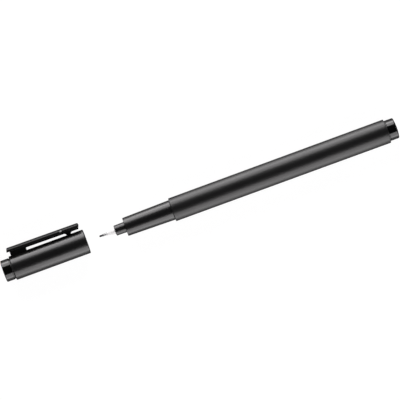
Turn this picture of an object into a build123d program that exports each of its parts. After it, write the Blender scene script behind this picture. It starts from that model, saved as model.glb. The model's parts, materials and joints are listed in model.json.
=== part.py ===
from build123d import *

import os

# A fibre-tip drawing pen lies on a table with its cap pulled off, in line with the pen.
# The axis runs along X: the cap is towards -X and the barrel's end plug towards +X.
# The pocket clip points along +Y, and the table is the plane Z = 0. All sizes are millimetres.

# Barrel
barrel_length = 97.7
barrel_front_diameter = 10.34
barrel_flare = 0.2  # how much wider the barrel is at its rear end
barrel_front_bevel = 0.14
barrel_rear_bevel = 0.2
neck_length = 0.4  # ring behind the barrel that the end plug closes
rib_count = 6
rib_width = 0.7
rib_margin = 2.0  # between a rib's end and the spigot next to it

# Grip section and its stepped nose
section_length = 21.3
shoulder_step = 0.745  # from the barrel's surface down to the section's
section_seat = 0.42  # width of the section's face on the barrel's end
section_taper = 0.74  # how much narrower the section is at its front
section_wall = 0.68  # at the front, where it is thinnest
section_front_wall = 2.2
section_front_bevel = 0.18
section_root_bevel = 0.12
spigot_length = 9.0
nose_length = 4.6
nose_front_diameter = 4.5
nose_rear_diameter = 4.66
nose_bevel = 0.15

# Writing tip
holder_length = 3.8
holder_base_diameter = 2.9
holder_front_diameter = 1.5
holder_stem_diameter = 2.0
holder_stem_length = 5.4
collar_length = 1.0
collar_diameter = 1.22
sleeve_length = 1.05  # bare tube ahead of the collar
sleeve_diameter = 1.08
sleeve_seat = 1.6  # pressed into the holder
nib_reach = 1.3  # bare fibre ahead of the sleeve
nib_diameter = 0.8
nib_tip_round = 0.32
nib_seat = 6.0  # pushed into the ink reservoir

# Ink reservoir
reservoir_setback = 5.0  # behind the section's front wall
film_thickness = 0.15

# Plug in the barrel's rear end
end_plug_length = 3.6
end_plug_dome = 0.5
end_plug_bevel = 0.25
end_plug_wall = 1.1
end_plug_spigot = 6.0
stem_length = 14.0  # cross that holds the reservoir forward
stem_width = 5.2
stem_blade = 1.0

# Cap
cap_length = 33.6
cap_wall = 0.75
cap_neck_length = 0.45
cap_neck_wall = 0.7
cap_neck_groove = 0.2  # below the end plug's surface
cap_plug_step = 0.58  # from the cap's surface down to its end plug's
cap_rear_bevel = 0.22
cap_mouth_bevel = 0.2
cap_mouth_lead = 0.25
cap_tip_gap = 5.8  # between the open cap's mouth and the nib

# Plug in the cap's rear end
cap_plug_length = 3.8
cap_plug_bevel = 0.25
cap_plug_wall = 1.3
cap_plug_spigot = 3.6
plug_edge_bevel = 0.12  # fine groove beside each plug

# Inner cap that seals round the nose
liner_wall = 0.8
liner_end_wall = 0.8
liner_tip_room = 1.5  # least room ahead of the nib with the cap closed
liner_mouth_gap = 0.5  # to the section's front face with the cap closed
liner_lead = 0.4

# Pocket clip
clip_length = 32.6
clip_rear_width = 8.0
clip_free_width = 7.8
clip_stand_off = 3.73  # from the cap's surface to the clip's outer face, at the rear
clip_fall = 0.28  # how much nearer the outer face is at the free end
clip_thickness = 1.88
clip_crown = 0.68
clip_edge_bevel = 0.36
clip_rear_slant = 0.45
clip_free_slant = 0.45
clip_free_round = 0.5
clip_rib_width = 3.0
clip_rib_depth = 0.7
foot_start = 1.2
foot_length = 7.0
foot_width = 4.6
tongue_inset = 3.4  # from the foot's rear edge
tongue_length = 3.0
tongue_width = 2.4
bump_centre = 27.4
bump_base = 3.5
bump_tip = 1.9
bump_width = 4.0
gate_place = 24.4  # flat round moulding mark on one of the clip's bevels
gate_radius = 0.6
gate_depth = 0.18

# Fits
fit = 0.03  # between pieces pressed together
cap_clearance = 0.15  # cap over section
post_clearance = 0.04  # barrel's end plug inside the cap's mouth
liner_clearance = 0.2  # liner over nose
stop_gap = 0.2  # between the closed cap and the barrel's shoulder
bump_gap = 0.06  # between the clip's bump and the cap

# Radii that follow from the barrel
barrel_front = barrel_front_diameter / 2
barrel_rear = barrel_front + barrel_flare / 2
section_rear = barrel_front - shoulder_step
section_front = section_rear - section_taper / 2
barrel_bore = section_rear - section_seat
cavity = section_front - section_wall
film_outer = cavity - fit
film_inner = film_outer - film_thickness
cap_bore = section_rear + cap_clearance
cap_outer = cap_bore + cap_wall
stub = cap_bore - post_clearance
cap_plug = cap_outer - cap_plug_step
cap_rear_bore = cap_plug - cap_neck_wall
liner_bore = nose_rear_diameter / 2 + liner_clearance
liner_outer = liner_bore + liner_wall
clip_reach = cap_outer + clip_stand_off
nib_bore = nib_diameter / 2 + fit

# Places along the axis, from the barrel's front shoulder
section_face = -section_length
nose_face = section_face - nose_length
holder_face = nose_face - holder_length
collar_face = holder_face - collar_length
sleeve_face = collar_face - sleeve_length
nib_point = sleeve_face - nib_reach
cavity_end = section_face + section_front_wall
neck_end = barrel_length + neck_length
end_plug_edge = neck_end + end_plug_length
pen_end = end_plug_edge + end_plug_dome
stem_start = neck_end - end_plug_spigot - stem_length
reservoir_front = cavity_end + reservoir_setback
reservoir_rear = stem_start - fit
mouth = nib_point - cap_tip_gap
cap_rear = mouth - cap_length
cap_neck = cap_rear - cap_neck_length
cap_end = cap_neck - cap_plug_length
liner_rear = cap_end + cap_plug_wall + fit
liner_floor = liner_rear + liner_end_wall

# The cap closes until its mouth is at the shoulder, or the nib is near the liner's floor
cap_travel = min(-mouth - stop_gap, nib_point - liner_floor - liner_tip_room)

# Origin: middle of the outline on the table
to_origin = Pos(
    -(cap_end + pen_end) / 2,
    (cap_outer - clip_reach) / 2,
    cap_outer,
)


def spun(outline):
    """Solid of revolution about the axis from a closed outline of lines and arcs."""
    return revolve(Plane.XZ * make_face(outline), Axis.X)


def turned(corners, bevels=()):
    """Solid of revolution about the axis from (place, radius) corners, some of them bevelled."""
    outline = make_face(Polyline(*corners, close=True))
    for corner, size in bevels:
        outline = chamfer(outline.vertices().sort_by_distance((*corner, 0))[0], size)
    return revolve(Plane.XZ * outline, Axis.X)


def ring(start, end, inner, outer):
    return turned([(start, inner), (end, inner), (end, outer), (start, outer)])


def rod(start, end, radius):
    return turned([(start, 0), (end, 0), (end, radius), (start, radius)])


def across(outline, width):
    """Plate with an outline in the plane of axis and clip, centred across it."""
    return extrude(make_face(outline), width / 2, both=True)


def make_barrel():
    rear_corner = (barrel_length, barrel_rear)
    tube = turned(
        [
            (0, barrel_bore),
            (0, barrel_front - barrel_front_bevel),
            (barrel_front_bevel, barrel_front),
            rear_corner,
            (barrel_length, stub),
            (neck_end, stub),
            (neck_end, barrel_bore),
        ],
        [(rear_corner, barrel_rear_bevel)],
    )
    rib_start = spigot_length + rib_margin
    rib_end = neck_end - end_plug_spigot - rib_margin
    rib_radius = (barrel_bore + barrel_front) / 2
    blade = Box(rib_end - rib_start, rib_width, rib_radius)
    blade = Pos((rib_start + rib_end) / 2, 0, rib_radius / 2) * blade
    blade -= rod(rib_start, rib_end, film_outer + fit)
    for turn in range(rib_count):
        tube += Rot(X=turn * 360 / rib_count) * blade
    return tube


def make_end_plug():
    dome_rim = stub - end_plug_bevel
    dome_radius = (dome_rim**2 + end_plug_dome**2) / (2 * end_plug_dome)
    dome = RadiusArc((end_plug_edge, dome_rim), (pen_end, 0), dome_radius)
    sides = Polyline(
        dome @ 1,
        (neck_end, 0),
        (neck_end, stub - plug_edge_bevel),
        (neck_end + plug_edge_bevel, stub),
        (end_plug_edge - end_plug_bevel, stub),
        dome @ 0,
    )
    head = spun(dome + sides)
    spigot_outer = barrel_bore - fit
    spigot = ring(neck_end - end_plug_spigot, neck_end, spigot_outer - end_plug_wall, spigot_outer)
    blade = Pos((stem_start + neck_end) / 2, 0, 0) * Box(neck_end - stem_start, stem_width, stem_blade)
    return head + spigot + blade + Rot(X=90) * blade


def make_grip_section():
    front_corner = (section_face, section_front)
    nose_corner = (nose_face, nose_front_diameter / 2)
    stem_bore = holder_stem_diameter / 2 + fit
    return turned(
        [
            (nose_face, stem_bore),
            nose_corner,
            (section_face, nose_rear_diameter / 2),
            front_corner,
            (-section_root_bevel, section_rear),
            (0, section_rear - section_root_bevel),
            (0, barrel_bore - fit),
            (spigot_length, barrel_bore - fit),
            (spigot_length, cavity),
            (cavity_end, cavity),
            (cavity_end, stem_bore),
        ],
        [(front_corner, section_front_bevel), (nose_corner, nose_bevel)],
    )


def make_nib_holder():
    seat = sleeve_diameter / 2 + fit
    return turned(
        [
            (holder_face, seat),
            (holder_face, holder_front_diameter / 2),
            (nose_face, holder_base_diameter / 2),
            (nose_face, holder_stem_diameter / 2),
            (nose_face + holder_stem_length, holder_stem_diameter / 2),
            (nose_face + holder_stem_length, nib_bore),
            (holder_face + sleeve_seat + fit, nib_bore),
            (holder_face + sleeve_seat + fit, seat),
        ]
    )


def make_nib_sleeve():
    tube = ring(sleeve_face, holder_face + sleeve_seat, nib_bore, sleeve_diameter / 2)
    return tube + ring(collar_face, holder_face, nib_bore, collar_diameter / 2)


def make_nib():
    radius = nib_diameter / 2
    tail = reservoir_front + nib_seat
    tip = RadiusArc((nib_point, radius - nib_tip_round), (nib_point + nib_tip_round, radius), nib_tip_round)
    return spun(tip + Polyline(tip @ 1, (tail, radius), (tail, 0), (nib_point, 0), tip @ 0))


def make_ink_reservoir():
    filler = rod(reservoir_front, reservoir_rear, film_inner - fit)
    return filler - rod(reservoir_front, reservoir_front + nib_seat + fit, nib_bore)


def make_reservoir_film():
    return ring(reservoir_front, reservoir_rear, film_inner, film_outer)


def tongue(clearance):
    """The clip's tongue in the cap's wall, or with a clearance the slot that takes it."""
    low = cap_bore + fit - clearance
    high = cap_outer + clip_stand_off / 2
    middle = cap_rear + foot_start + tongue_inset + tongue_length / 2
    block = Box(tongue_length + 2 * clearance, high - low, tongue_width + 2 * clearance)
    return Pos(middle, (low + high) / 2, 0) * block


def make_cap_body():
    rear_corner = (cap_rear, cap_outer)
    mouth_corner = (mouth, cap_outer)
    inner_step = cap_neck + cap_plug_spigot + fit
    shell = turned(
        [
            (cap_neck, cap_rear_bore),
            (cap_neck, cap_plug - cap_neck_groove),
            (cap_rear, cap_plug - cap_neck_groove),
            rear_corner,
            mouth_corner,
            (mouth, cap_bore + cap_mouth_lead),
            (mouth - cap_mouth_lead, cap_bore),
            (inner_step, cap_bore),
            (inner_step, cap_rear_bore),
        ],
        [(rear_corner, cap_rear_bevel), (mouth_corner, cap_mouth_bevel)],
    )
    return shell - tongue(fit)


def make_cap_end_plug():
    edge = (cap_end, cap_plug)
    bore = cap_rear_bore - fit
    socket = liner_outer + fit
    spigot_end = cap_neck + cap_plug_spigot
    return turned(
        [
            (cap_end, 0),
            edge,
            (cap_neck - plug_edge_bevel, cap_plug),
            (cap_neck, cap_plug - plug_edge_bevel),
            (cap_neck, bore),
            (spigot_end, bore),
            (spigot_end, socket),
            (cap_end + cap_plug_wall, socket),
            (cap_end + cap_plug_wall, 0),
        ],
        [(edge, cap_plug_bevel)],
    )


def make_cap_liner():
    lip = section_face - cap_travel - liner_mouth_gap
    return turned(
        [
            (liner_rear, 0),
            (liner_rear, liner_outer),
            (lip, liner_outer),
            (lip, liner_bore + liner_lead),
            (lip - liner_lead, liner_bore),
            (liner_floor, liner_bore),
            (liner_floor, 0),
        ]
    )


def clip_profile(place, width, top):
    """Cross-section of the clip's bar: upright sides and a crowned outer face."""
    side = top - clip_crown
    low = top - clip_thickness - clip_rib_depth
    half = width / 2
    walls = Polyline((side, -half), (low, -half), (low, half), (side, half))
    face = make_face(walls + ThreePointArc((side, half), (top, 0), (side, -half)))
    corners = face.vertices().sort_by(Axis.X)[-2:]
    return Plane.YZ.offset(place) * chamfer(corners, clip_edge_bevel)


def make_clip():
    free = cap_rear + clip_length
    top_free = clip_reach - clip_fall
    under_rear = clip_reach - clip_thickness
    under_free = top_free - clip_thickness
    rib_rear = under_rear - clip_rib_depth
    rib_free = under_free - clip_rib_depth
    middle_free = top_free - clip_thickness / 2
    end_slope = clip_free_slant / (middle_free - rib_free)
    under_end = free - end_slope * (middle_free - under_free)

    crowned = loft(
        [
            clip_profile(cap_rear - clip_rear_slant, clip_rear_width, clip_reach),
            clip_profile(free + clip_free_slant, clip_free_width, top_free),
        ],
        ruled=True,
    )
    top_corner = (free, top_free + fit)
    ends = make_face(
        Polyline(
            (cap_rear, under_rear),
            (cap_rear + clip_rear_slant, clip_reach + fit),
            top_corner,
            (free, middle_free),
            (under_end, under_free),
            close=True,
        )
    )
    ends = fillet(ends.vertices().sort_by_distance((*top_corner, 0))[0], clip_free_round)
    bar = crowned & extrude(ends, clip_rear_width, both=True)

    foot_rear = cap_rear + foot_start
    foot_front = foot_rear + foot_length
    rib = across(
        Polyline(
            (foot_rear, under_rear),
            (foot_rear, rib_rear),
            (free - clip_free_slant, rib_free),
            (under_end, under_free),
            close=True,
        ),
        clip_rib_width,
    )
    foot = across(
        Polyline(
            (foot_rear, cap_bore),
            (foot_rear, under_rear + clip_crown),
            (foot_front, under_rear + clip_crown),
            (foot_front, cap_bore),
            close=True,
        ),
        foot_width,
    )
    bump_place = cap_rear + bump_centre
    bump_low = cap_outer + bump_gap
    bump_high = under_free
    bump_waist = (bump_low + rib_free) / 2
    waist = bump_tip / 2 + (bump_base - bump_tip) / 8
    flank_rear = ThreePointArc(
        (bump_place - bump_base / 2, rib_free),
        (bump_place - waist, bump_waist),
        (bump_place - bump_tip / 2, bump_low),
    )
    flank_free = ThreePointArc(
        (bump_place + bump_tip / 2, bump_low),
        (bump_place + waist, bump_waist),
        (bump_place + bump_base / 2, rib_free),
    )
    bump = across(
        flank_rear
        + Line(flank_rear @ 1, flank_free @ 0)
        + flank_free
        + Polyline(
            flank_free @ 1,
            (bump_place + bump_base / 2, bump_high),
            (bump_place - bump_base / 2, bump_high),
            flank_rear @ 0,
        ),
        bump_width,
    )
    clip = bar + rib + foot - rod(cap_rear, mouth, cap_outer + fit)
    clip = clip + bump + tongue(0)
    share = gate_place / clip_length
    side_width = clip_rear_width + (clip_free_width - clip_rear_width) * share
    gate_inset = clip_edge_bevel / 2 + gate_depth / 2**0.5
    gate_height = clip_reach - clip_fall * share - clip_crown - gate_inset
    gate_lift = side_width / 2 - gate_inset
    gate = extrude(Circle(gate_radius), clip_edge_bevel + clip_crown)
    return clip - Pos(cap_rear + gate_place, gate_height, gate_lift) * Rot(X=-45) * gate


pieces = {
    "barrel": make_barrel(),
    "barrel_end_plug": make_end_plug(),
    "grip_section": make_grip_section(),
    "nib_holder": make_nib_holder(),
    "nib_sleeve": make_nib_sleeve(),
    "nib": make_nib(),
    "ink_reservoir": make_ink_reservoir(),
    "reservoir_film": make_reservoir_film(),
    "cap_body": make_cap_body(),
    "cap_end_plug": make_cap_end_plug(),
    "cap_liner": make_cap_liner(),
    "clip": make_clip(),
}

os.makedirs("parts", exist_ok=True)
for name, piece in pieces.items():
    export_step(to_origin * piece, f"parts/{name}.step")
print(f"cap travel {cap_travel:.2f} mm, length {pen_end - cap_end:.2f} mm with the cap off")
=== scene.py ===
import json
import math

import bmesh
import bpy
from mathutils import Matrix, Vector


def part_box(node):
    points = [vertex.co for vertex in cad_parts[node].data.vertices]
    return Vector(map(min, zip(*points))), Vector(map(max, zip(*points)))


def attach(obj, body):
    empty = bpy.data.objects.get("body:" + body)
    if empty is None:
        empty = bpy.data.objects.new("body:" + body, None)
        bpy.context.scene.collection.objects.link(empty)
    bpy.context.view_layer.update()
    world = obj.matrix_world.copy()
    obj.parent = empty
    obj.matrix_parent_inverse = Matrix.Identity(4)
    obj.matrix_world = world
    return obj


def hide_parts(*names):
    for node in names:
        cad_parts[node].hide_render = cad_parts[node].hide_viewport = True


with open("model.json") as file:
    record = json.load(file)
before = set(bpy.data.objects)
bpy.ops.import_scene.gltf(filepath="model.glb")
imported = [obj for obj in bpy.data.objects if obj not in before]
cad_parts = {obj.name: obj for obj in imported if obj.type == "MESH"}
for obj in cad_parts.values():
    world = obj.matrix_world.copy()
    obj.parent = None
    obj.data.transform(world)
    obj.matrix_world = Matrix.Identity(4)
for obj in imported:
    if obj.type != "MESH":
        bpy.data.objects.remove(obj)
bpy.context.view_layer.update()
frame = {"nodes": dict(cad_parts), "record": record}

# A fibre-tip drawing pen lies on a pale table with its cap pulled off, in line with the pen.
# Lengths are metres in the frame: the axis runs along X, the pocket clip points along +Y.
MM = 0.001
TURNS = 128  # edges round a turned piece
SMOOTH_ANGLE = math.radians(38)
TOUCH = 0.002 * MM  # how near a point lies to a place to count as being there
FACING = 0.9  # least part of a face's normal along the way that the face looks
LEANING = 0.7  # the same for a face that may lean

mounts = {mount["name"]: mount for mount in frame["record"]["mounts"]}
AXIS_Y, AXIS_Z = mounts["rear_stub"]["pos_m"][1:]


def span(node):
    """Start and end along the axis of a turned node, and its largest radius."""
    low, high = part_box(node)
    return low.x, high.x, min(high.z - AXIS_Z, AXIS_Z - low.z)


shoulder, neck_end, barrel_rear = span("barrel")
stem_start, pen_end, stub = span("barrel_end_plug")
nose_face, spigot_end, section_rear = span("grip_section")
holder_face, holder_tail, holder_base = span("nib_holder")
sleeve_face, sleeve_tail, collar = span("nib_sleeve")
nib_point, nib_tail, nib_radius = span("nib")
cap_neck, mouth, cap_outer = span("cap_body")
cap_end, cap_spigot_end, cap_plug = span("cap_end_plug")
liner_rear, liner_lip, liner_outer = span("cap_liner")
clip_low, clip_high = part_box("clip")

# Barrel and its plug
NECK_LENGTH = 0.4 * MM
BARREL_FLARE = 0.1 * MM
BARREL_ROUND = 0.24 * MM
SHOULDER_BEVEL = 0.14 * MM
SOFT_EDGE = 0.05 * MM
SECTION_SEAT = 0.42 * MM
FIT = 0.03 * MM
PLUG_SPIGOT = 6.0 * MM
PLUG_WALL = 1.1 * MM
PLUG_DOME = 0.5 * MM
PLUG_ROUND = 0.35 * MM
PLUG_GROOVE = 0.12 * MM
STEM_BLADE = 1.0 * MM
STEM_WIDTH = 5.2 * MM
STEM_ROOT = 0.5 * MM  # how far the stem goes into the plug
DOME_RINGS = 7
DOME_MIDDLE = 0.02  # share of a dome's radius that its flat middle takes

# Grip section with its nose
NOSE_LENGTH = 4.6 * MM
NOSE_FRONT = 2.25 * MM
NOSE_REAR = 2.33 * MM
NOSE_ROUND = 0.18 * MM
SECTION_TAPER = 0.37 * MM
SECTION_ROUND = 0.22 * MM
SECTION_WALL = 0.68 * MM
SECTION_FRONT_WALL = 2.2 * MM
HOLDER_STEM = 1.0 * MM

# Writing tip
SLEEVE = 0.54 * MM
SLEEVE_LENGTH = 1.05 * MM
SLEEVE_SEAT = 1.6 * MM
SLEEVE_ROUND = 0.06 * MM
COLLAR_ROUND = 0.1 * MM
HOLDER_FRONT = 0.75 * MM
HOLDER_FRONT_ROUND = 0.09 * MM
HOLDER_BASE_ROUND = 0.12 * MM
NIB_ROUND = 0.32 * MM
INK_ON_HOLDER = 0.5 * MM  # how far ink has crept along the cone
INK_ON_SLEEVE = 0.45 * MM  # how much of the tube is dulled by ink

# Cap
CAP_NECK_LENGTH = 0.45 * MM
CAP_WALL = 0.75 * MM
CAP_ROUND = 0.26 * MM
CAP_NECK_WALL = 0.7 * MM
CAP_NECK_GROOVE = 0.2 * MM
SEAM_START = 0.3 * MM  # dull line along the foot of the shoulder
SEAM_END = 0.76 * MM
CAP_LEAD = 0.25 * MM
MOUTH_ROUND = 0.16 * MM
MOUTH_INNER_ROUND = 0.06 * MM
CAP_PLUG_WALL = 1.3 * MM
CAP_PLUG_CROWN = 0.16 * MM
CAP_PLUG_ROUND = 0.3 * MM
LINER_WALL = 0.8 * MM
LINER_LEAD = 0.4 * MM
LIP_ROUND = 0.15 * MM
LIP_INNER_ROUND = 0.12 * MM

# Pocket clip
CLIP_THICKNESS = 1.88 * MM
CLIP_CROWN = 0.68 * MM
CLIP_CROWN_LINES = 5  # lines that shape the crown on each side of its middle
CLIP_NARROWING = 0.2 * MM  # how much narrower the free end is
CLIP_FALL = 0.28 * MM  # how much nearer the cap the free end is
CLIP_EDGE = 0.5 * MM
CLIP_REAR_SLANT = 0.45 * MM
CLIP_FREE_SLANT = 0.45 * MM
CLIP_OVERRUN = 1.5 * MM  # cut off again at each end
CLIP_FINE_EDGE = 0.07 * MM
CLIP_FINE_ANGLE = math.radians(50)  # edges sharper than this get the fine edge
RIB_WIDTH = 3.0 * MM
RIB_DEPTH = 0.7 * MM
FOOT_START = 1.2 * MM
FOOT_LENGTH = 7.0 * MM
FOOT_WIDTH = 4.6 * MM
TONGUE_INSET = 3.4 * MM
TONGUE_LENGTH = 3.0 * MM
TONGUE_WIDTH = 2.4 * MM
BUMP_CENTRE = 27.4 * MM
BUMP_BASE = 3.5 * MM
BUMP_TIP = 1.9 * MM
BUMP_WIDTH = 4.0 * MM
BUMP_GAP = 0.015 * MM
BUMP_STEPS = 5
BUMP_FLANK = 2.5  # power of the curve along its flanks
END_DROP = 0.1 * MM  # how much deeper the rib is between the bump and the free end
END_ROUND = 0.35 * MM  # rib's corner at the free end
GATE_PLACE = 24.7 * MM
GATE_RADIUS = 0.6 * MM
GATE_DEPTH = 0.22 * MM
GATE_TILT = math.radians(51)  # 0 would face as the clip's back does, 90 degrees up
GATE_TURNS = 48  # edges round the mark
GATE_MARGIN = 1.15 * GATE_RADIUS  # how far from the mark's middle the clip is cut on each side
GATE_SLIVER = 0.02 * MM  # points nearer to each other are merged once the mark is cut

# The clip's width, and where its parts begin and end along the axis
clip_width = clip_high.z - clip_low.z
clip_rear = clip_low.x
clip_free = clip_high.x
clip_length = clip_free - clip_rear
foot_rear = clip_rear + FOOT_START
foot_front = foot_rear + FOOT_LENGTH
tongue_rear = foot_rear + TONGUE_INSET
tongue_front = tongue_rear + TONGUE_LENGTH
bump_middle = clip_rear + BUMP_CENTRE
bump_rear = bump_middle - BUMP_BASE / 2
bump_front = bump_middle + BUMP_BASE / 2

# Heights at the clip's rear end, measured along Y, and the radius that its foot sits on
clip_back = clip_high.y
clip_under = clip_back - CLIP_THICKNESS
rib_level = clip_under - RIB_DEPTH
free_slant_height = CLIP_THICKNESS / 2 + RIB_DEPTH  # over which the free end slants
foot_seat = cap_outer + FIT

# The studio
PHOTO_TURN = math.radians(20.135)  # how far the axis rises to the right in the picture
PHOTO_WIDTH = 170.8 * MM  # what the picture takes in at the height of the axis
PHOTO_CENTRE = (-0.127 * MM, -2.006 * MM)
LENS = 300.0
SENSOR = 36.0
VIEW_DEPTH = 100.0
TABLE_SIZE = 8.0
NEAR_WHITE = 0.92  # how white the camera sees the table beside the pen
WHITE_FADE = (0.25, 0.6)  # how far out the table grows from there to full white
# The white cards are no objects but painted reflections: bands of the table that glow white for
# glossy rays only
CARD_FADE = (12 * MM, 25 * MM)  # how far from the axis the white cards begin
CARD_FRONT = (-12 * MM, 5 * MM)  # where they begin, from the barrel's shoulder
CARD_REAR = (-4 * MM, 2 * MM)  # where they end, from the barrel's neck
FAR_FADE = (40 * MM, 80 * MM)  # how far from the axis all the table shines
BACKDROP_FADE = (0.02, 0.2)  # rise of a direction over which the backdrop ends
SOFTBOX_DISTANCE = 0.55
SOFTBOX_SPREAD = 28  # degrees that a softbox reaches each way along the pen
SOFTBOX_COLOUR = (1.0, 0.978, 0.989)
LOWER_SHIFT = 0.12  # how far the lower softboxes stand towards the barrel's end
BLACK = (0, 0, 0, 1)
WHITE = (1, 1, 1, 1)


class Wire:
    """A socket in a finish's node tree: arithmetic on it adds Math nodes."""

    def __init__(self, socket):
        self.socket = socket
        self.tree = socket.id_data

    def node(self, kind, settings=None, inputs=None, output=0):
        """Adds a node, with its settings first and then the values or links of its sockets."""
        made = self.tree.nodes.new(kind)
        for name, value in (settings or {}).items():
            setattr(made, name, value)
        for name, value in (inputs or {}).items():
            if isinstance(value, Wire):
                self.tree.links.new(value.socket, made.inputs[name])
            else:
                made.inputs[name].default_value = value
        return Wire(made.outputs[output])

    def math(self, operation, first, second):
        return self.node("ShaderNodeMath", {"operation": operation}, {0: first, 1: second})

    def __add__(self, other):
        return self.math("ADD", self, other)

    def __radd__(self, other):
        return self.math("ADD", other, self)

    def __sub__(self, other):
        return self.math("SUBTRACT", self, other)

    def __rsub__(self, other):
        return self.math("SUBTRACT", other, self)

    def __mul__(self, other):
        return self.math("MULTIPLY", self, other)

    def __rmul__(self, other):
        return self.math("MULTIPLY", other, self)

    def part(self, letter):
        """One coordinate of a place."""
        return self.node("ShaderNodeSeparateXYZ", None, {"Vector": self}, letter)

    def away_from(self, point):
        """How far a place lies from a point."""
        ends = {0: self, 1: point}
        return self.node("ShaderNodeVectorMath", {"operation": "DISTANCE"}, ends, "Value")

    def feed(self, socket):
        self.tree.links.new(self.socket, socket)


def new_finish(name):
    """A material with one shader, and the object's own coordinates to draw its detail with."""
    material = bpy.data.materials.new(name)
    material.use_nodes = True
    tree = material.node_tree
    tree.nodes.clear()
    output = tree.nodes.new("ShaderNodeOutputMaterial")
    shader = tree.nodes.new("ShaderNodeBsdfPrincipled")
    tree.links.new(shader.outputs[0], output.inputs[0])
    place = Wire(tree.nodes.new("ShaderNodeTexCoord").outputs["Object"])
    return material, shader.inputs, place


def speckle(place, scale, detail=2.0):
    """Soft random grain with so many cells to the metre."""
    inputs = {"Vector": place, "Scale": scale, "Detail": detail}
    return place.node("ShaderNodeTexNoise", None, inputs)


def drawn_along(place, along, across):
    """Random lines along the axis, with so many cells to the metre each way."""
    inputs = {"Vector": place, "Scale": (along, across, across)}
    stretched = place.node("ShaderNodeMapping", None, inputs)
    return speckle(stretched, 1.0, 3.0)


def blend(factor, first, second):
    inputs = {0: factor, 6: first, 7: second}
    return factor.node("ShaderNodeMix", {"data_type": "RGBA"}, inputs, 2)


def fade(value, start, end):
    """0 before start and 1 after end, with a soft step between."""
    limits = {"Value": value, "From Min": start, "From Max": end}
    return value.node("ShaderNodeMapRange", {"interpolation_type": "SMOOTHSTEP"}, limits)


def relief(height, distance, strength, socket):
    inputs = {"Strength": strength, "Distance": distance, "Height": height}
    height.node("ShaderNodeBump", None, inputs).feed(socket)


def satin_black(name, roughness, shine, dull_start=0.0, dull_end=0.0, mark=None):
    """Moulded black plastic with the fine matt grain of a spark-eroded mould.

    It is left dull between two places along the axis, and paler on a moulding mark, partly the
    mark's own tone and partly a painted highlight.
    """
    material, shader, place = new_finish(name)
    along = place.part("X")
    softly = 0.02 * MM
    past_start = fade(along, dull_start - softly, dull_start + softly)
    past_end = fade(along, dull_end - softly, dull_end + softly)
    dull = past_start - past_end
    dull_roughness = 0.9
    grain = speckle(place, 7000.0, 3.0)
    handled = speckle(place, 70.0)
    flow = drawn_along(place, 25.0, 1400.0)
    tone = blend(handled, (0.0035, 0.0035, 0.0037, 1), (0.0055, 0.0054, 0.0055, 1))
    if mark:
        # Painted highlight: the moulding mark is painted pale grey, partly its own tone and partly
        # the glint it catches
        pale = 1 - fade(place.away_from(mark), 0.8 * GATE_RADIUS, GATE_RADIUS)
        tone = blend(pale, tone, (0.13, 0.13, 0.13, 1))
    tone.feed(shader["Base Color"])
    shader["Specular IOR Level"].default_value = shine
    uneven = 0.07 * (grain - 0.5) + 0.08 * (handled - 0.5) + 0.05 * (flow - 0.5)
    (roughness + (dull_roughness - roughness) * dull + uneven).feed(shader["Roughness"])
    relief(grain + 0.3 * flow, 0.004 * MM, 0.35, shader["Normal"])
    return material


def gloss_black(name):
    """Polished black plastic with a faint orange peel and fine rub marks."""
    material, shader, place = new_finish(name)
    peel = speckle(place, 900.0)
    rubs = drawn_along(place, 300.0, 9000.0)
    tone = blend(peel, (0.0012, 0.0012, 0.0013, 1), (0.002, 0.002, 0.002, 1))
    tone.feed(shader["Base Color"])
    (0.09 + 0.05 * rubs).feed(shader["Roughness"])
    relief(peel, 0.002 * MM, 0.25, shader["Normal"])
    return material


def white_plastic(name):
    """White moulded plastic, with a trace of ink where it meets the metal collar."""
    material, shader, place = new_finish(name)
    grain = speckle(place, 2600.0, 3.0)
    near_collar = 1 - fade(place.part("X"), holder_face, holder_face + INK_ON_HOLDER)
    ink = near_collar * (0.15 + 0.4 * grain)
    body = blend(grain, (0.97, 0.97, 0.965, 1), (0.99, 0.99, 0.985, 1))
    blend(ink, body, (0.42, 0.42, 0.45, 1)).feed(shader["Base Color"])
    (0.3 + 0.12 * grain).feed(shader["Roughness"])
    relief(grain, 0.003 * MM, 0.3, shader["Normal"])
    return material


def natural_plastic(name):
    """Soft waxy plastic without pigment."""
    material, shader, place = new_finish(name)
    cloud = speckle(place, 500.0)
    blend(cloud, (0.74, 0.74, 0.7, 1), (0.82, 0.82, 0.79, 1)).feed(shader["Base Color"])
    (0.4 + 0.14 * cloud).feed(shader["Roughness"])
    relief(cloud, 0.01 * MM, 0.3, shader["Normal"])
    return material


def drawn_steel(name):
    """Stainless tube with the fine lines of its drawing along it, dulled by ink towards the tip."""
    material, shader, place = new_finish(name)
    lines = drawn_along(place, 500.0, 16000.0)
    collar_face = sleeve_face + SLEEVE_LENGTH
    clean = fade(place.part("X"), sleeve_face + INK_ON_SLEEVE, collar_face)
    bright = blend(lines, (0.4, 0.4, 0.405, 1), (0.52, 0.52, 0.525, 1))
    inked = blend(lines, (0.16, 0.16, 0.163, 1), (0.24, 0.24, 0.244, 1))
    shader["Metallic"].default_value = 1.0
    blend(clean, inked, bright).feed(shader["Base Color"])
    (0.48 + 0.16 * lines).feed(shader["Roughness"])
    relief(lines, 0.003 * MM, 0.4, shader["Normal"])
    return material


def inked_fibre(name, along, across):
    """Bonded fibre soaked with black ink, its threads running along the axis."""
    material, shader, place = new_finish(name)
    threads = drawn_along(place, along, across)
    pools = speckle(place, 3000.0)
    tone = blend(threads, (0.004, 0.004, 0.005, 1), (0.012, 0.012, 0.014, 1))
    tone.feed(shader["Base Color"])
    shader["Specular IOR Level"].default_value = 0.12
    (0.5 + 0.35 * threads - 0.15 * pools).feed(shader["Roughness"])
    relief(threads, 0.02 * MM, 0.5, shader["Normal"])
    return material


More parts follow.
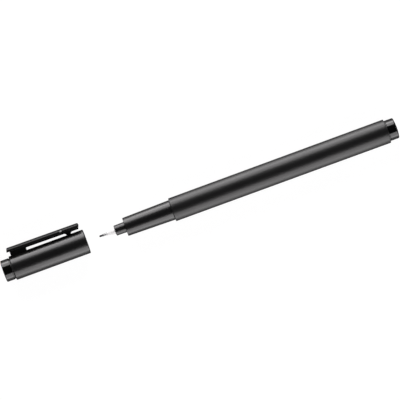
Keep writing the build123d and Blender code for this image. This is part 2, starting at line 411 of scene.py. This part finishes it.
def clear_film(name):
    """Thin clear film with faint wrapping lines."""
    material, shader, place = new_finish(name)
    lines = drawn_along(place, 40.0, 2200.0)
    blend(lines, (0.78, 0.8, 0.82, 1), (0.86, 0.87, 0.88, 1)).feed(shader["Base Color"])
    (0.12 + 0.1 * lines).feed(shader["Roughness"])
    (0.3 + 0.12 * lines).feed(shader["Alpha"])
    return material


def start_edit():
    bpy.ops.object.mode_set(mode="EDIT")
    bpy.ops.mesh.select_all(action="SELECT")


def end_edit():
    bpy.ops.object.mode_set(mode="OBJECT")


def add_block(centre, size):
    """Adds a block at its size and place, with nothing else selected."""
    bpy.ops.object.select_all(action="DESELECT")
    bpy.ops.mesh.primitive_cube_add(size=1, location=centre, scale=size)
    bpy.ops.object.transform_apply()
    return bpy.context.object


def turned(name, outline, filled=False):
    """Pulls a ring of edges from corner to corner of an outline of (place, radius) about the axis.

    The last ring joins the first, or both are filled with a face.
    """
    place, radius = outline[0]
    bpy.ops.object.select_all(action="DESELECT")
    bpy.ops.mesh.primitive_circle_add(
        vertices=TURNS,
        radius=radius,
        location=(place, AXIS_Y, AXIS_Z),
        rotation=(0, math.pi / 2, 0),
    )
    piece = bpy.context.object
    piece.name = name
    bpy.ops.object.transform_apply()
    start_edit()
    bpy.ops.mesh.select_mode(type="EDGE")
    for next_place, next_radius in outline[1:]:
        step = (next_place - place, 0, 0)
        bpy.ops.mesh.extrude_edges_move(TRANSFORM_OT_translate={"value": step})
        scale = next_radius / radius
        centre = (next_place, AXIS_Y, AXIS_Z)
        bpy.ops.transform.resize(value=(1, scale, scale), center_override=centre)
        place, radius = next_place, next_radius
    if filled:
        bpy.ops.mesh.select_all(action="SELECT")
        bpy.ops.mesh.fill_holes(sides=0)
    else:
        bpy.ops.mesh.select_all(action="DESELECT")
        bpy.ops.mesh.select_non_manifold()
        bpy.ops.mesh.bridge_edge_loops()
    bpy.ops.mesh.select_all(action="SELECT")
    bpy.ops.mesh.normals_make_consistent(inside=False)
    return piece


def dome(end, height, radius):
    """Rings of a shallow dome inside its rim, which lies that height before the end."""
    rings = []
    for ring in range(1, DOME_RINGS):
        share = 1 - ring / DOME_RINGS
        rings.append((end - height * share**2, radius * share))
    rings.append((end, radius * DOME_MIDDLE))
    return rings


def pick_points(piece, wanted):
    """Selects the vertices whose place meets a test."""
    bpy.ops.mesh.select_mode(type="VERT")
    bpy.ops.mesh.select_all(action="DESELECT")
    mesh = bmesh.from_edit_mesh(piece.data)
    for vertex in mesh.verts:
        vertex.select_set(wanted(vertex.co))
    mesh.select_flush(True)
    bmesh.update_edit_mesh(piece.data)


def pick_edges(piece, wanted):
    """Selects the edges that meet a test."""
    bpy.ops.mesh.select_mode(type="EDGE")
    bpy.ops.mesh.select_all(action="DESELECT")
    mesh = bmesh.from_edit_mesh(piece.data)
    for edge in mesh.edges:
        edge.select_set(wanted(edge))
    bmesh.update_edit_mesh(piece.data)


def pick_faces(piece, wanted):
    """Selects the faces whose middle and normal meet a test."""
    bpy.ops.mesh.select_mode(type="FACE")
    bpy.ops.mesh.select_all(action="DESELECT")
    mesh = bmesh.from_edit_mesh(piece.data)
    for face in mesh.faces:
        face.select_set(wanted(face.calc_center_median(), face.normal))
    bmesh.update_edit_mesh(piece.data)


def at_ring(point, ring):
    place, radius = ring
    away = math.hypot(point.y - AXIS_Y, point.z - AXIS_Z)
    return abs(point.x - place) < TOUCH and abs(away - radius) < TOUCH


def round_selected(size, segments):
    bpy.ops.mesh.bevel(offset=size, segments=segments, profile=0.5, affect="EDGES")


def round_rings(piece, rounds, segments=5):
    """Rounds the rings of a turned piece that lie at (place, radius), each by its own size."""
    for ring, size in rounds:
        pick_edges(piece, lambda edge: all(at_ring(end.co, ring) for end in edge.verts))
        round_selected(size, segments)


def make_active(piece):
    bpy.ops.object.select_all(action="DESELECT")
    piece.select_set(True)
    bpy.context.view_layer.objects.active = piece


def apply_modifier(piece, kind, **settings):
    modifier = piece.modifiers.new(kind.lower(), kind)
    for name, value in settings.items():
        setattr(modifier, name, value)
    bpy.ops.object.modifier_apply(modifier=modifier.name)


def combine(piece, shape, operation):
    """Adds a closed shape to a piece, or cuts it out of the piece, and removes it."""
    make_active(piece)
    apply_modifier(piece, "BOOLEAN", operation=operation, solver="EXACT", object=shape)
    bpy.data.objects.remove(shape)


def dress(piece, body, node, finish):
    """Smooths a finished piece, gives it its finish and seats it on the frame for a CAD node."""
    end_edit()
    make_active(piece)
    bpy.ops.object.shade_smooth_by_angle(angle=SMOOTH_ANGLE)
    apply_modifier(piece, "WEIGHTED_NORMAL", keep_sharp=True)
    piece.data.materials.clear()
    piece.data.materials.append(finish)
    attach(piece, body)
    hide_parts(node)


barrel_bore = section_rear - SECTION_SEAT
satin_barrel = satin_black("satin_barrel", roughness=0.39, shine=0.52)
satin_grip = satin_black("satin_grip", roughness=0.3, shine=0.6)
satin_cap = satin_black(
    "satin_cap",
    roughness=0.32,
    shine=0.65,
    dull_start=cap_neck + SEAM_START,
    dull_end=cap_neck + SEAM_END,
)
gloss_plugs = gloss_black("gloss_plugs")


def make_barrel():
    """Long tube with a bevelled front shoulder, a rounded rear corner and a short neck."""
    front = barrel_rear - BARREL_FLARE
    rear = neck_end - NECK_LENGTH
    bevel_start = (shoulder, front - SHOULDER_BEVEL)
    bevel_end = (shoulder + SHOULDER_BEVEL, front)
    rear_corner = (rear, barrel_rear)
    neck_corner = (neck_end, stub)
    piece = turned(
        "barrel_tube",
        [
            (shoulder, barrel_bore),
            bevel_start,
            bevel_end,
            rear_corner,
            (rear, stub),
            neck_corner,
            (neck_end, barrel_bore),
        ],
    )
    softened = [(corner, SOFT_EDGE) for corner in (bevel_start, bevel_end, neck_corner)]
    round_rings(piece, [(rear_corner, BARREL_ROUND)])
    round_rings(piece, softened, segments=3)
    dress(piece, "pen", "barrel", satin_barrel)


def make_stem():
    """Cross behind the reservoir, its four blades pulled out of a square bar."""
    end = neck_end + STEM_ROOT
    centre = Vector(((stem_start + end) / 2, AXIS_Y, AXIS_Z))
    stem = add_block(centre, (end - stem_start, STEM_BLADE, STEM_BLADE))
    start_edit()
    for side in (Vector((0, 1, 0)), Vector((0, -1, 0)), Vector((0, 0, 1)), Vector((0, 0, -1))):
        middle = centre + side * STEM_BLADE / 2

        def on_side(face_centre, normal):
            return (face_centre - middle).length < TOUCH and normal.dot(side) > FACING

        pick_faces(stem, on_side)
        blade = side * (STEM_WIDTH - STEM_BLADE) / 2
        bpy.ops.mesh.extrude_region_move(TRANSFORM_OT_translate={"value": blade})
    end_edit()
    return stem


def make_end_plug():
    """Domed gloss plug on a hollow spigot, with the cross that holds the reservoir forward."""
    spigot = barrel_bore - FIT
    spigot_start = neck_end - PLUG_SPIGOT
    corner = (pen_end - PLUG_DOME, stub)
    outline = [
        (neck_end, spigot - PLUG_WALL),
        (spigot_start, spigot - PLUG_WALL),
        (spigot_start, spigot),
        (neck_end, spigot),
        (neck_end, stub - PLUG_GROOVE),
        (neck_end + PLUG_GROOVE, stub),
        corner,
    ]
    piece = turned("end_plug", outline + dome(pen_end, PLUG_DOME, stub), filled=True)
    round_rings(piece, [(corner, PLUG_ROUND)])
    end_edit()
    combine(piece, make_stem(), "UNION")
    dress(piece, "pen", "barrel_end_plug", gloss_plugs)


def make_grip():
    """Tapered grip with a stepped nose in front and a spigot in the barrel."""
    section_face = nose_face + NOSE_LENGTH
    front_corner = (section_face, section_rear - SECTION_TAPER)
    nose_corner = (nose_face, NOSE_FRONT)
    groove_edge = (shoulder - PLUG_GROOVE, section_rear)
    cavity = section_rear - SECTION_TAPER - SECTION_WALL
    cavity_end = section_face + SECTION_FRONT_WALL
    stem_bore = HOLDER_STEM + FIT
    piece = turned(
        "grip",
        [
            (nose_face, stem_bore),
            nose_corner,
            (section_face, NOSE_REAR),
            front_corner,
            groove_edge,
            (shoulder, section_rear - PLUG_GROOVE),
            (shoulder, barrel_bore - FIT),
            (spigot_end, barrel_bore - FIT),
            (spigot_end, cavity),
            (cavity_end, cavity),
            (cavity_end, stem_bore),
        ],
    )
    round_rings(piece, [(front_corner, SECTION_ROUND), (nose_corner, NOSE_ROUND)])
    round_rings(piece, [(groove_edge, SOFT_EDGE)], segments=2)
    dress(piece, "pen", "grip_section", satin_grip)


def make_tip_cone():
    """White cone that carries the writing tip, on a stem in the nose."""
    seat = SLEEVE + FIT
    seat_end = holder_face + SLEEVE_SEAT + FIT
    front_corner = (holder_face, HOLDER_FRONT)
    base_corner = (nose_face, holder_base)
    bore = nib_radius + FIT
    piece = turned(
        "tip_cone",
        [
            (holder_face, seat),
            front_corner,
            base_corner,
            (nose_face, HOLDER_STEM),
            (holder_tail, HOLDER_STEM),
            (holder_tail, bore),
            (seat_end, bore),
            (seat_end, seat),
        ],
    )
    rounds = [(front_corner, HOLDER_FRONT_ROUND), (base_corner, HOLDER_BASE_ROUND)]
    round_rings(piece, rounds, segments=4)
    dress(piece, "pen", "nib_holder", white_plastic("white_cone"))


def make_tip_tube():
    """Drawn metal tube round the tip, with a collar on the cone's front."""
    collar_face = sleeve_face + SLEEVE_LENGTH
    bore = nib_radius + FIT
    front_corner = (sleeve_face, SLEEVE)
    collar_front = (collar_face, collar)
    collar_rear = (holder_face, collar)
    piece = turned(
        "tip_tube",
        [
            (sleeve_face, bore),
            front_corner,
            (collar_face, SLEEVE),
            collar_front,
            collar_rear,
            (holder_face, SLEEVE),
            (sleeve_tail, SLEEVE),
            (sleeve_tail, bore),
        ],
    )
    rounds = [
        (front_corner, SLEEVE_ROUND),
        (collar_front, COLLAR_ROUND),
        (collar_rear, SLEEVE_ROUND),
    ]
    round_rings(piece, rounds, segments=4)
    dress(piece, "pen", "nib_sleeve", drawn_steel("drawn_steel"))


def make_writing_tip():
    """Thin fibre rod with a rounded writing end."""
    corner = (nib_point, nib_radius)
    piece = turned("writing_tip", [corner, (nib_tail, nib_radius)], filled=True)
    round_rings(piece, [(corner, NIB_ROUND)], segments=8)
    fibre = inked_fibre("inked_tip", along=900.0, across=14000.0)
    dress(piece, "pen", "nib", fibre)


def make_cap():
    """Open cap with a rounded rear shoulder, a lead at its mouth and a slot for the tongue."""
    rear = cap_neck + CAP_NECK_LENGTH
    bore = cap_outer - CAP_WALL
    rear_bore = cap_plug - CAP_NECK_WALL
    inner_step = cap_spigot_end + FIT
    rear_corner = (rear, cap_outer)
    mouth_corner = (mouth, cap_outer)
    mouth_edge = (mouth, bore + CAP_LEAD)
    piece = turned(
        "cap_shell",
        [
            (cap_neck, rear_bore),
            (cap_neck, cap_plug - CAP_NECK_GROOVE),
            (rear, cap_plug - CAP_NECK_GROOVE),
            rear_corner,
            mouth_corner,
            mouth_edge,
            (mouth - CAP_LEAD, bore),
            (inner_step, bore),
            (inner_step, rear_bore),
        ],
    )
    mouth_rounds = [(mouth_corner, MOUTH_ROUND), (mouth_edge, MOUTH_INNER_ROUND)]
    round_rings(piece, [(rear_corner, CAP_ROUND)])
    round_rings(piece, mouth_rounds, segments=4)
    end_edit()
    slot = add_block(
        ((tongue_rear + tongue_front) / 2, AXIS_Y + bore + CAP_WALL / 2, AXIS_Z),
        (TONGUE_LENGTH + 2 * FIT, 2 * CAP_WALL, TONGUE_WIDTH + 2 * FIT),
    )
    combine(piece, slot, "DIFFERENCE")
    dress(piece, "cap", "cap_body", satin_cap)


def make_cap_plug():
    """Gloss plug with a barely crowned end, its socket holding the inner cap."""
    socket = liner_outer + FIT
    spigot = cap_plug - CAP_NECK_WALL - FIT
    corner = (cap_end + CAP_PLUG_CROWN, cap_plug)
    outline = [
        (cap_end + CAP_PLUG_WALL, socket),
        (cap_spigot_end, socket),
        (cap_spigot_end, spigot),
        (cap_neck, spigot),
        (cap_neck, cap_plug - PLUG_GROOVE),
        (cap_neck - PLUG_GROOVE, cap_plug),
        corner,
    ]
    piece = turned("cap_plug", outline + dome(cap_end, -CAP_PLUG_CROWN, cap_plug), filled=True)
    round_rings(piece, [(corner, CAP_PLUG_ROUND)])
    dress(piece, "cap", "cap_end_plug", gloss_plugs)


def make_inner_cap():
    """Soft inner cap that closes round the nose."""
    bore = liner_outer - LINER_WALL
    lip_corner = (liner_lip, liner_outer)
    lip_edge = (liner_lip, bore + LINER_LEAD)
    piece = turned(
        "inner_cap",
        [
            (liner_rear, liner_outer),
            lip_corner,
            lip_edge,
            (liner_lip - LINER_LEAD, bore),
            (liner_rear + LINER_WALL, bore),
        ],
        filled=True,
    )
    lip_rounds = [(lip_corner, LIP_ROUND), (lip_edge, LIP_INNER_ROUND)]
    round_rings(piece, lip_rounds, segments=4)
    dress(piece, "cap", "cap_liner", natural_plastic("natural_liner"))


def cut(piece, place, normal, wanted):
    """Cuts the wanted faces along a plane."""
    pick_faces(piece, wanted)
    bpy.ops.mesh.bisect(plane_co=place, plane_no=normal)


def cut_along(piece, halves, wanted):
    """Cuts the wanted faces lengthwise, so far to each side of the clip's middle."""
    for half in halves:
        for side in (-1, 1) if half else (1,):
            cut(piece, (0, 0, AXIS_Z + side * half), (0, 0, 1), wanted)


def cut_across(piece, places, wanted):
    """Cuts the wanted faces crosswise at places along the axis."""
    for place in places:
        cut(piece, (place, 0, 0), (1, 0, 0), wanted)


def trim(corner, normal):
    """Cuts off what lies beyond a plane through a corner, and closes the end."""
    bpy.ops.mesh.select_all(action="SELECT")
    facing = Vector(normal).normalized()
    bpy.ops.mesh.bisect(plane_co=corner, plane_no=facing, use_fill=True, clear_outer=True)


def pull_down(drop):
    """Pulls the selected faces out towards the cap."""
    bpy.ops.mesh.extrude_region_move(TRANSFORM_OT_translate={"value": (0, -drop, 0)})


def move_selected(along, away):
    """Moves the selected points along the axis and away from the cap."""
    bpy.ops.transform.translate(value=(along, away, 0))


def level_off(height):
    """Brings the selected points to one height."""
    bpy.ops.transform.resize(value=(1, 0, 1), center_override=(0, height, 0))


def from_middle(point):
    """How far a point lies to the side of the clip's middle."""
    return abs(point.z - AXIS_Z)


def within(point, start, end, breadth):
    return start < point.x < end and from_middle(point) < breadth / 2


def near_rib(point):
    """Whether a point is at the rib's underside, which falls a little towards the free end."""
    return abs(point.y - rib_level) < 1.5 * CLIP_FALL


def is_back(centre, normal):
    return normal.y > FACING


def is_under(centre, normal):
    return normal.y < -FACING and abs(centre.y - clip_under) < 2 * CLIP_FALL


def is_rib(centre, normal):
    return normal.y < -FACING and near_rib(centre)


def is_marked_edge(centre, normal):
    """Whether a face is part of the back, the upper side or the round edge between them."""
    return normal.y + normal.z > FACING


def clip_bar():
    """Tapered bar with a crowned back."""
    stock = clip_length + 2 * CLIP_OVERRUN
    centre = ((clip_rear + clip_free) / 2, (clip_back + clip_under) / 2, AXIS_Z)
    piece = add_block(centre, (stock, CLIP_THICKNESS, clip_width))
    piece.name = "pocket_clip"
    start_edit()
    half_width = clip_width / 2
    shares = [line / CLIP_CROWN_LINES for line in range(CLIP_CROWN_LINES + 1)]
    cut_along(piece, [share * half_width for share in shares[:-1]], is_back)
    for share in shares[1:]:

        def on_line(point):
            on_back = point.y > clip_under + TOUCH
            return on_back and abs(from_middle(point) - share * half_width) < TOUCH

        pick_points(piece, on_line)
        move_selected(0, -CLIP_CROWN * share**2)
    pick_points(piece, lambda point: point.x > clip_free)
    slimmer = 1 - CLIP_NARROWING / clip_width * stock / clip_length
    bpy.ops.transform.resize(value=(1, 1, slimmer), center_override=(0, 0, AXIS_Z))
    move_selected(0, -CLIP_FALL * stock / clip_length)
    return piece


def shape_ends(piece):
    """Slants the bar's ends, and rounds its back along both sides and the free end."""
    tip = (clip_free, clip_back - CLIP_FALL - CLIP_THICKNESS / 2, AXIS_Z)
    trim((clip_rear, clip_under, AXIS_Z), (-CLIP_THICKNESS, CLIP_REAR_SLANT, 0))
    trim(tip, (1, 0, 0))
    trim(tip, (free_slant_height, -CLIP_FREE_SLANT, 0))

    def along_back(edge):
        normals = [face.normal for face in edge.link_faces]
        crowned = any(normal.y > LEANING for normal in normals)
        upright = any(abs(normal.z) > FACING or normal.x > FACING for normal in normals)
        return crowned and upright

    pick_edges(piece, along_back)
    round_selected(CLIP_EDGE, segments=6)


def add_rib(piece, halves):
    """Stiffening rib along the underside, with the roots of the foot and the bump."""
    ends = (foot_rear, tongue_rear, tongue_front, foot_front, bump_rear, bump_front)
    cut_across(piece, ends, is_under)
    cut_along(piece, halves, is_under)

    def stands_below(centre, normal):
        in_foot = within(centre, foot_rear, foot_front, FOOT_WIDTH)
        in_bump = within(centre, bump_rear, bump_front, BUMP_WIDTH)
        in_rib = within(centre, foot_rear, clip_free, RIB_WIDTH)
        return is_under(centre, normal) and (in_foot or in_bump or in_rib)

    pick_faces(piece, stands_below)
    pull_down(RIB_DEPTH)
    pick_points(piece, lambda point: point.x > bump_front + TOUCH and near_rib(point))
    move_selected(-CLIP_FREE_SLANT / free_slant_height * RIB_DEPTH, 0)


def add_foot(piece, halves):
    """Foot with a saddle that sits on the cap, and a tongue through the cap's wall."""

    def in_foot(centre, normal):
        return is_rib(centre, normal) and within(centre, foot_rear, foot_front, FOOT_WIDTH)

    pick_faces(piece, in_foot)
    pull_down(RIB_DEPTH)
    for half in halves:

        def on_saddle(point):
            below = point.y < rib_level - RIB_DEPTH / 2
            along_foot = foot_rear - TOUCH < point.x < foot_front + TOUCH
            return below and along_foot and abs(from_middle(point) - half) < TOUCH

        pick_points(piece, on_saddle)
        level_off(AXIS_Y + math.sqrt(foot_seat**2 - half**2))

    def in_tongue(centre, normal):
        on_seat = normal.y < -LEANING and centre.y < AXIS_Y + foot_seat + TOUCH
        return on_seat and within(centre, tongue_rear, tongue_front, TONGUE_WIDTH)

    pick_faces(piece, in_tongue)
    pull_down(AXIS_Y + foot_seat - clip_low.y)
    pick_points(piece, lambda point: point.y < clip_low.y + RIB_DEPTH / 2)
    level_off(clip_low.y)


def add_bump(piece):
    """Gripping bump, its flanks curving in until it all but touches the cap."""

    def in_bump(centre, normal):
        return is_rib(centre, normal) and within(centre, bump_rear, bump_front, BUMP_WIDTH)

    bump_low = AXIS_Y + cap_outer + BUMP_GAP
    bump_root = rib_level - CLIP_FALL * BUMP_CENTRE / clip_length
    pick_faces(piece, in_bump)
    length = BUMP_BASE
    for step in range(1, BUMP_STEPS + 1):
        left = 1 - step / BUMP_STEPS
        next_length = BUMP_TIP + (BUMP_BASE - BUMP_TIP) * left**BUMP_FLANK
        pull_down((bump_root - bump_low) / BUMP_STEPS)
        shorter = (next_length / length, 1, 1)
        bpy.ops.transform.resize(value=shorter, center_override=(bump_middle, 0, 0))
        length = next_length


def finish_rib_end(piece):
    """Deepens the rib between the bump and the free end, and rounds its corner there."""
    pick_points(piece, lambda point: point.x > bump_front - TOUCH and near_rib(point))
    move_selected(0, -END_DROP)

    def at_free_corner(point):
        return point.x > bump_front + TOUCH and point.y < rib_level - CLIP_FALL

    pick_points(piece, at_free_corner)
    round_selected(END_ROUND, segments=5)


def press_mark(piece):
    """Presses the mould's flat round mark into a rounded edge, and gives its floor's middle."""
    place = clip_rear + GATE_PLACE
    start_edit()
    cut_across(piece, (place - GATE_MARGIN, place + GATE_MARGIN), is_marked_edge)
    end_edit()
    share = GATE_PLACE / clip_length
    outward = Vector((0, math.cos(GATE_TILT), math.sin(GATE_TILT)))
    corner = Vector((place, clip_back, AXIS_Z + clip_width / 2))
    corner -= Vector((0, CLIP_FALL * share + CLIP_CROWN, CLIP_NARROWING * share / 2))
    inset = CLIP_EDGE * (1 - math.sqrt(0.5))
    mark_floor = corner - Vector((0, inset, inset)) - outward * GATE_DEPTH
    height = CLIP_EDGE + CLIP_CROWN
    bpy.ops.mesh.primitive_cylinder_add(
        vertices=GATE_TURNS,
        radius=GATE_RADIUS,
        depth=height,
        location=mark_floor + outward * height / 2,
        rotation=(GATE_TILT - math.pi / 2, 0, 0),
    )
    combine(piece, bpy.context.object, "DIFFERENCE")
    start_edit()
    # Sorted points merge in the same way on each run
    bpy.ops.mesh.sort_elements(type="CURSOR_DISTANCE", elements={"VERT"})
    bpy.ops.mesh.remove_doubles(threshold=GATE_SLIVER)
    return mark_floor


def make_clip():
    """Tapered clip with a stiffening rib, a foot with its tongue and a gripping bump."""
    widths = {0, RIB_WIDTH / 2, RIB_WIDTH, TONGUE_WIDTH, BUMP_WIDTH, FOOT_WIDTH}
    halves = [width / 2 for width in sorted(widths)]
    piece = clip_bar()
    shape_ends(piece)
    add_rib(piece, halves)
    add_foot(piece, halves)
    add_bump(piece)
    finish_rib_end(piece)
    bpy.ops.mesh.select_all(action="SELECT")
    bpy.ops.mesh.remove_doubles(threshold=TOUCH)
    bpy.ops.mesh.normals_make_consistent(inside=False)
    end_edit()
    apply_modifier(
        piece,
        "BEVEL",
        width=CLIP_FINE_EDGE,
        segments=2,
        limit_method="ANGLE",
        angle_limit=CLIP_FINE_ANGLE,
    )
    mark_floor = press_mark(piece)
    satin_clip = satin_black("satin_clip", roughness=0.32, shine=0.28, mark=mark_floor)
    dress(piece, "cap", "clip", satin_clip)


make_barrel()
make_end_plug()
make_grip()
make_tip_cone()
make_tip_tube()
make_writing_tip()
make_cap()
make_cap_plug()
make_inner_cap()
make_clip()

for node, finish in (
    ("ink_reservoir", inked_fibre("inked_filler", along=60.0, across=2500.0)),
    ("reservoir_film", clear_film("wrapping_film")),
):
    frame["nodes"][node].data.materials.clear()
    frame["nodes"][node].data.materials.append(finish)


def make_floor():
    """Polished table that mirrors the softboxes, and a painted reflection of a white card on each
    side of the barrel: a band of the table that glows white for glossy rays only.

    The camera sees it as matt white with the pen's soft shadow.
    """
    bpy.ops.object.select_all(action="DESELECT")
    bpy.ops.mesh.primitive_plane_add(size=TABLE_SIZE)
    floor = bpy.context.object
    floor.name = "table"
    material, shader, place = new_finish("pale_table")
    seen = place.node("ShaderNodeLightPath").socket.node.outputs
    camera_ray = Wire(seen["Is Camera Ray"])
    shown = camera_ray + Wire(seen["Is Transmission Ray"])
    white = NEAR_WHITE + (1 - NEAR_WHITE) * fade(place.away_from((0, 0, 0)), *WHITE_FADE)

    along = place.part("X")
    across = place.part("Y") - AXIS_Y
    aside = across.math("ABSOLUTE", across, 0.0)
    past_front = fade(along, *[shoulder + edge for edge in CARD_FRONT])
    past_rear = fade(along, *[neck_end + edge for edge in CARD_REAR])
    # Painted reflection: the white cards are bands of the table that glow for glossy rays only
    card_glow = (past_front - past_rear) * fade(aside, *CARD_FADE)
    shining = card_glow.math("MAXIMUM", card_glow, fade(aside, *FAR_FADE))
    glow = white * shown + shining * Wire(seen["Is Glossy Ray"])

    # Painted shade: the table's base is dark grey so that its reflections beside the pen stay dark,
    # as if in the pen's shadow; the camera sees it white by its glow
    mottle = speckle(place, 40.0)
    blend(mottle, (0.12, 0.12, 0.12, 1), (0.14, 0.14, 0.14, 1)).feed(shader["Base Color"])
    blend(glow, BLACK, WHITE).feed(shader["Emission Color"])
    shader["Emission Strength"].default_value = 1.0
    (0.12 + 0.78 * camera_ray).feed(shader["Roughness"])
    shader["IOR"].default_value = 1.6
    material.cycles.emission_sampling = "NONE"
    floor.data.materials.append(material)


def make_world():
    """White backdrop for the camera, and a dark room overhead."""
    world = bpy.data.worlds.new("studio")
    bpy.context.scene.world = world
    world.use_nodes = True
    tree = world.node_tree
    tree.nodes.clear()
    output = tree.nodes.new("ShaderNodeOutputWorld")
    room = tree.nodes.new("ShaderNodeBackground")
    tree.links.new(room.outputs[0], output.inputs[0])
    seen = tree.nodes.new("ShaderNodeLightPath").outputs
    direction = Wire(tree.nodes.new("ShaderNodeTexCoord").outputs["Generated"])
    backdrop = 1 - fade(direction.part("Z"), *BACKDROP_FADE)
    mirrored = Wire(seen["Is Glossy Ray"]) + Wire(seen["Is Transmission Ray"])
    glow = Wire(seen["Is Camera Ray"]) + mirrored * backdrop
    blend(glow, (0.02, 0.02, 0.02, 1), WHITE).feed(room.inputs["Color"])


def make_softbox(name, side, low, high, radiance, shift=0.0):
    """Panel on one side of the pen, reaching between two elevations in degrees."""
    middle = math.radians((low + high) / 2)
    half = math.radians((high - low) / 2)
    outward = Vector((0, side * math.cos(middle), math.sin(middle)))
    bpy.ops.object.light_add(
        type="AREA",
        location=Vector((shift, 0, 0)) + outward * SOFTBOX_DISTANCE,
        rotation=(-outward).to_track_quat("-Z", "Y").to_euler(),
    )
    lamp = bpy.context.object
    lamp.name = name
    lamp.visible_camera = False
    lamp.data.shape = "RECTANGLE"
    lamp.data.size = 2 * SOFTBOX_DISTANCE * math.tan(math.radians(SOFTBOX_SPREAD))
    lamp.data.size_y = 2 * SOFTBOX_DISTANCE * math.tan(half)
    lamp.data.energy = radiance * math.pi * lamp.data.size * lamp.data.size_y
    lamp.data.color = SOFTBOX_COLOUR
    return lamp


def make_camera():
    """Camera straight above the pen, turned so that the axis rises to the right."""
    height = PHOTO_WIDTH * LENS / SENSOR
    bpy.ops.object.camera_add(
        location=(*PHOTO_CENTRE, AXIS_Z + height),
        rotation=(0, 0, -PHOTO_TURN),
    )
    camera = bpy.context.object
    camera.data.lens = LENS
    camera.data.sensor_width = SENSOR
    camera.data.clip_end = VIEW_DEPTH
    bpy.context.scene.camera = camera


make_floor()
make_world()
make_softbox("upper_softbox", side=1, low=0, high=42.5, radiance=4.5)
make_softbox("upper_strip", side=1, low=0, high=14, radiance=2.7)
make_softbox("lower_softbox", side=-1, low=0, high=48, radiance=3.6, shift=LOWER_SHIFT)
make_softbox("lower_strip", side=-1, low=0, high=14, radiance=0.3, shift=LOWER_SHIFT)
overhead_fill = make_softbox("overhead_fill", side=1, low=78, high=102, radiance=1.4)
overhead_fill.visible_glossy = False  # lights the white cone without a shine on the black
make_camera()
bpy.context.scene.view_settings.view_transform = "Standard"
